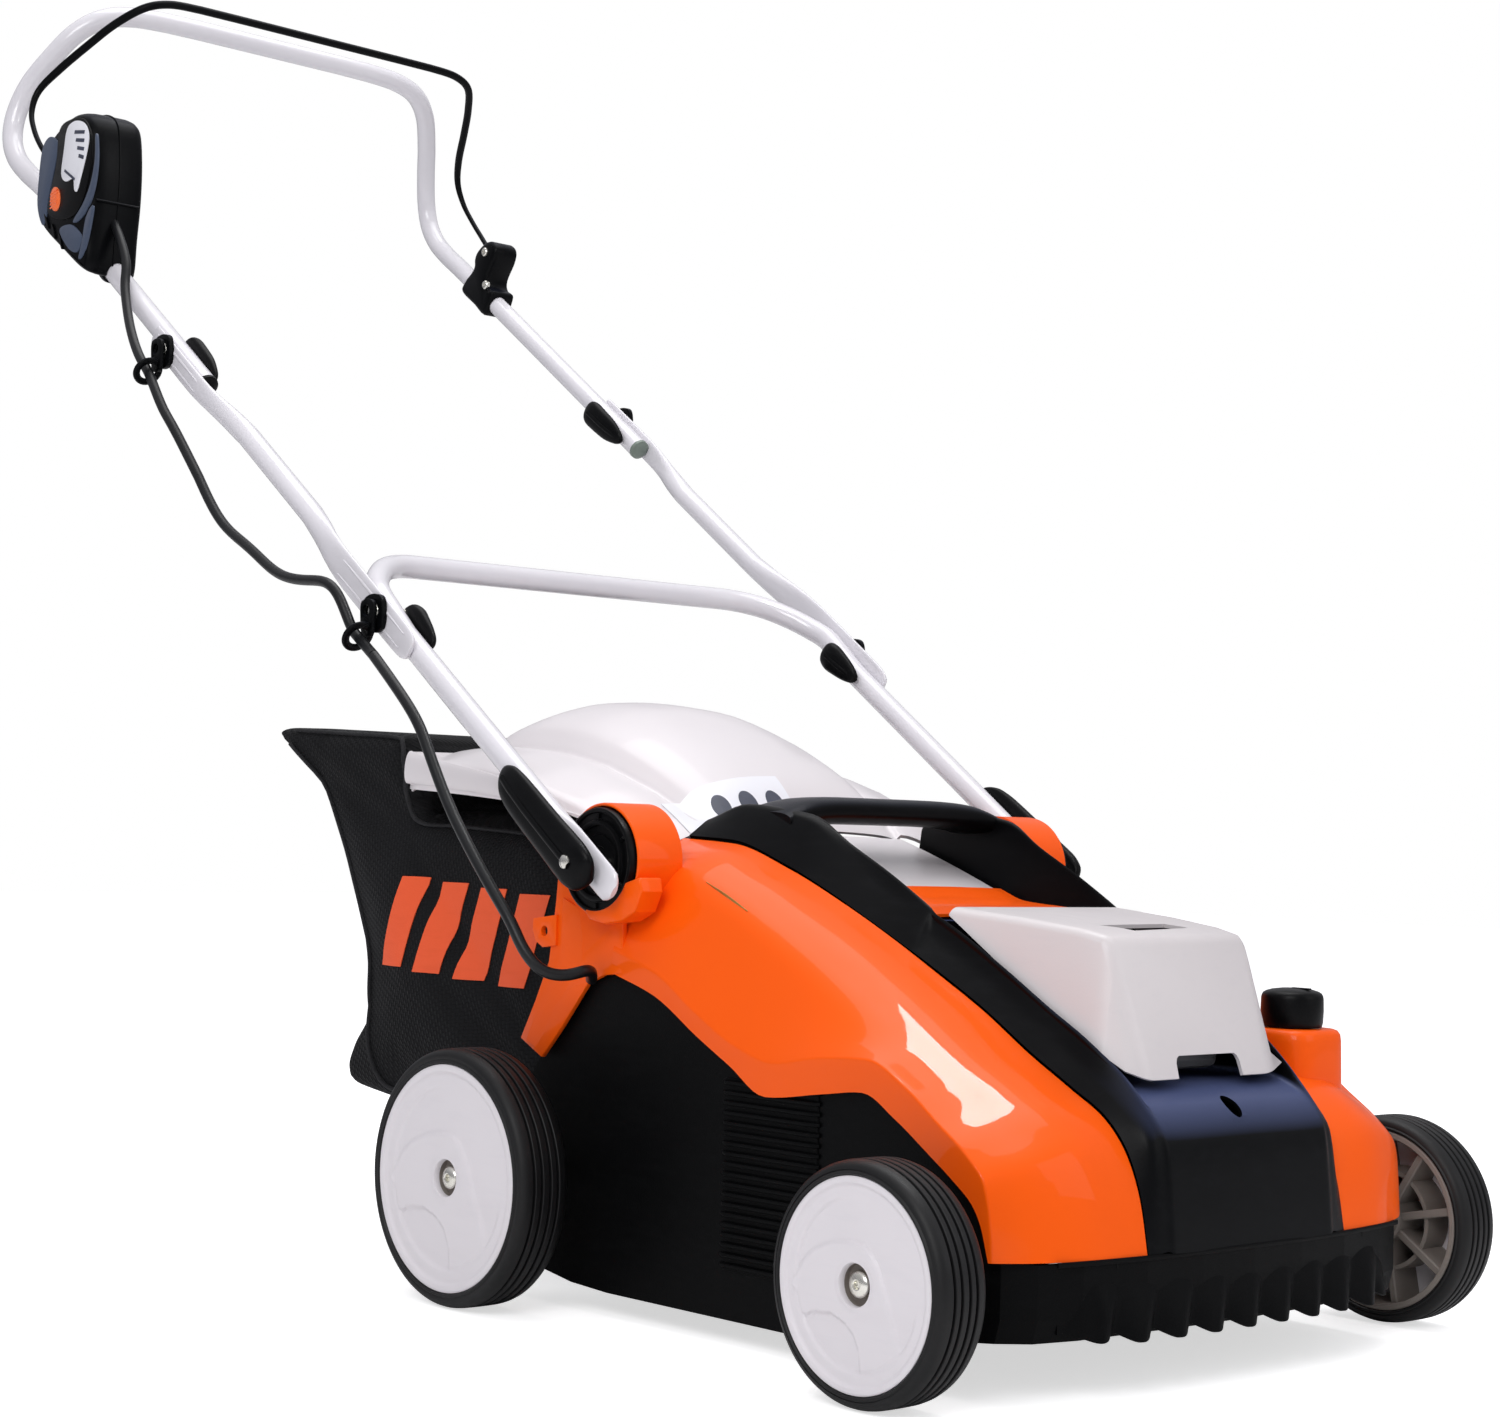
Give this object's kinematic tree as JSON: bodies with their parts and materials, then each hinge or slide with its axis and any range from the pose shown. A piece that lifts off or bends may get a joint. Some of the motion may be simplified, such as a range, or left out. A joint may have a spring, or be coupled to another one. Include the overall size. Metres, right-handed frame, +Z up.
{
  "type": "lawn dethatcher",
  "caption": "Walk-behind battery lawn dethatcher with a spring-tine reel, rear catcher bag and a three-piece folding handle with switch box and bail.",
  "frame": {"origin": "bottom centre of the whole machine's box, on the ground", "axes": "+Z up, -Y towards the front of the machine, +Y towards the operator, +X towards the machine's left side"},
  "size_m": [0.56, 1.29, 1.0979],
  "materials": {
    "orange_plastic": "glossy moulded",
    "black_plastic": "fine grained",
    "white_plastic": "satin moulded",
    "wheel_white": "satin moulded",
    "tube_paint": "gloss enamel",
    "tyre_rubber": "moulded, ribbed",
    "zinc_steel": "zinc plated",
    "spring_steel": "oiled",
    "bag_fabric": "woven, coated",
    "battery_case": "moulded",
    "belt_rubber": "ribbed",
    "cable_sheath": "smooth",
    "soft_grip": "soft touch"
  },
  "bodies": {
    "chassis": {"deck_housing": "black_plastic", "side_cover_right": "orange_plastic", "side_cover_left": "orange_plastic", "spine_cover": "black_plastic", "recess_panel": "orange_plastic", "hood_panel": "white_plastic", "battery_pack": "battery_case", "motor_body": "zinc_steel", "drive_belt": "belt_rubber", "reel_bearing_right": "spring_steel", "reel_bearing_left": "spring_steel", "rear_axle": "zinc_steel", "detent_disc_right": "black_plastic", "detent_disc_left": "black_plastic", "cable_lower": "cable_sheath"},
    "front_axle_carrier": {"front_axle": "zinc_steel"},
    "depth_knob": {"depth_knob": "black_plastic"},
    "reel": {"tine_reel": "spring_steel", "reel_pulley": "spring_steel"},
    "motor_rotor": {"motor_pulley": "spring_steel"},
    "battery_lid": {"battery_cover": "white_plastic"},
    "flap": {"discharge_flap": "white_plastic"},
    "catcher": {"catcher_bag": "bag_fabric", "bag_frame": "black_plastic"},
    "lower_handle": {"lower_bar": "tube_paint", "lower_joint_bolt_right": "zinc_steel", "lower_joint_bolt_left": "zinc_steel", "pivot_bolt_right": "zinc_steel", "pivot_bolt_left": "zinc_steel", "cable_clip_lower": "black_plastic"},
    "middle_handle": {"middle_tube_right": "tube_paint", "middle_tube_left": "tube_paint", "cable_middle": "cable_sheath"},
    "upper_handle": {"upper_bar": "tube_paint", "upper_joint_bolt_right": "zinc_steel", "upper_joint_bolt_left": "zinc_steel", "cable_clip_upper": "black_plastic", "switch_box": "black_plastic", "pivot_box": "black_plastic", "cable_upper": "cable_sheath"},
    "bail": {"switch_bail": "black_plastic"},
    "release_button": {"safety_button": "orange_plastic"},
    "wheel_front_right": {"tyre_front_right": "tyre_rubber", "rim_front_right": "wheel_white", "wheel_bolt_front_right": "zinc_steel"},
    "wheel_front_left": {"tyre_front_left": "tyre_rubber", "rim_front_left": "wheel_white", "wheel_bolt_front_left": "zinc_steel"},
    "wheel_rear_right": {"tyre_rear_right": "tyre_rubber", "rim_rear_right": "wheel_white", "wheel_bolt_rear_right": "zinc_steel"},
    "wheel_rear_left": {"tyre_rear_left": "tyre_rubber", "rim_rear_left": "wheel_white", "wheel_bolt_rear_left": "zinc_steel"},
    "lower_lever_right": {"lower_clamp_lever_right": "soft_grip"},
    "upper_lever_right": {"upper_clamp_lever_right": "soft_grip"},
    "pivot_lever_right": {"pivot_lever_right": "soft_grip"},
    "lower_lever_left": {"lower_clamp_lever_left": "soft_grip"},
    "upper_lever_left": {"upper_clamp_lever_left": "soft_grip"},
    "pivot_lever_left": {"pivot_lever_left": "soft_grip"}
  },
  "joints": [
    {"name": "working_depth", "type": "slide", "parent": "chassis", "child": "front_axle_carrier", "axis": [0, 0, 1], "range_m": [0, 0.012]},
    {"name": "depth_knob_turn", "type": "hinge", "parent": "chassis", "child": "depth_knob", "pos_m": [0.15, -0.55801, 0.22], "axis": [0, 0, 1], "range_deg": [0, 270]},
    {"name": "wheel_front_right_spin", "type": "hinge", "parent": "front_axle_carrier", "child": "wheel_front_right", "pos_m": [-0.2595, -0.56801, 0.07292], "axis": [1, 0, 0], "continuous": true},
    {"name": "wheel_front_left_spin", "type": "hinge", "parent": "front_axle_carrier", "child": "wheel_front_left", "pos_m": [0.2595, -0.56801, 0.07292], "axis": [1, 0, 0], "continuous": true},
    {"name": "wheel_rear_right_spin", "type": "hinge", "parent": "chassis", "child": "wheel_rear_right", "pos_m": [-0.2585, -0.16001, 0.08966], "axis": [1, 0, 0], "continuous": true},
    {"name": "wheel_rear_left_spin", "type": "hinge", "parent": "chassis", "child": "wheel_rear_left", "pos_m": [0.2585, -0.16001, 0.08966], "axis": [1, 0, 0], "continuous": true},
    {"name": "reel_spin", "type": "hinge", "parent": "chassis", "child": "reel", "pos_m": [0, -0.41801, 0.068], "axis": [1, 0, 0], "continuous": true},
    {"name": "motor_spin", "type": "hinge", "parent": "chassis", "child": "motor_rotor", "pos_m": [0.18, -0.40301, 0.205], "axis": [1, 0, 0], "continuous": true},
    {"name": "battery_cover_open", "type": "hinge", "parent": "chassis", "child": "battery_lid", "pos_m": [0, -0.45351, 0.288], "axis": [-1, 0, 0], "range_deg": [0, 75]},
    {"name": "flap_open", "type": "hinge", "parent": "chassis", "child": "flap", "pos_m": [0, -0.22401, 0.337], "axis": [1, 0, 0], "range_deg": [0, 16]},
    {"name": "bag_pull_off", "type": "slide", "parent": "chassis", "child": "catcher", "axis": [0, 1, 0], "range_m": [0, 0.2]},
    {"name": "handle_tilt", "type": "hinge", "parent": "chassis", "child": "lower_handle", "pos_m": [0, -0.25501, 0.312], "axis": [-1, 0, 0], "range_deg": [-110, 0]},
    {"name": "middle_fold", "type": "hinge", "parent": "lower_handle", "child": "middle_handle", "pos_m": [0, -0.00801, 0.4935], "axis": [1, 0, 0], "range_deg": [0, 150]},
    {"name": "upper_fold", "type": "hinge", "parent": "middle_handle", "child": "upper_handle", "pos_m": [0, 0.31899, 0.728], "axis": [-1, 0, 0], "range_deg": [0, 100]},
    {"name": "bail_press", "type": "hinge", "parent": "upper_handle", "child": "bail", "pos_m": [0, 0.52599, 0.914], "axis": [-1, 0, 0], "range_deg": [0, 25], "stiffness_Nm_per_rad": 0.2},
    {"name": "button_press", "type": "slide", "parent": "upper_handle", "child": "release_button", "axis": [1, 0, 0], "range_m": [0, 0.004], "stiffness_N_per_m": 300},
    {"name": "lower_lever_right_release", "type": "hinge", "parent": "lower_handle", "child": "lower_lever_right", "pos_m": [-0.22185, -0.00557, 0.49525], "axis": [0, -0.5828, 0.8126], "range_deg": [0, 60]},
    {"name": "upper_lever_right_release", "type": "hinge", "parent": "upper_handle", "child": "upper_lever_right", "pos_m": [-0.22185, 0.33362, 0.73849], "axis": [0, -0.5828, 0.8126], "range_deg": [0, 60]},
    {"name": "pivot_lever_right_release", "type": "hinge", "parent": "lower_handle", "child": "pivot_lever_right", "pos_m": [-0.24605, -0.26964, 0.30151], "axis": [0, -0.5828, 0.8126], "range_deg": [0, 60]},
    {"name": "lower_lever_left_release", "type": "hinge", "parent": "lower_handle", "child": "lower_lever_left", "pos_m": [0.22185, -0.00557, 0.49525], "axis": [0, 0.5828, -0.8126], "range_deg": [0, 60]},
    {"name": "upper_lever_left_release", "type": "hinge", "parent": "upper_handle", "child": "upper_lever_left", "pos_m": [0.22185, 0.33362, 0.73849], "axis": [0, 0.5828, -0.8126], "range_deg": [0, 60]},
    {"name": "pivot_lever_left_release", "type": "hinge", "parent": "lower_handle", "child": "pivot_lever_left", "pos_m": [0.24605, -0.26964, 0.30151], "axis": [0, 0.5828, -0.8126], "range_deg": [0, 60]}
  ],
  "couplings": [
    {"joint": "depth_knob_turn", "follows": "working_depth", "rad_per_m": 392.31},
    {"joint": "motor_spin", "follows": "reel_spin", "ratio": 2.3333}
  ]
}
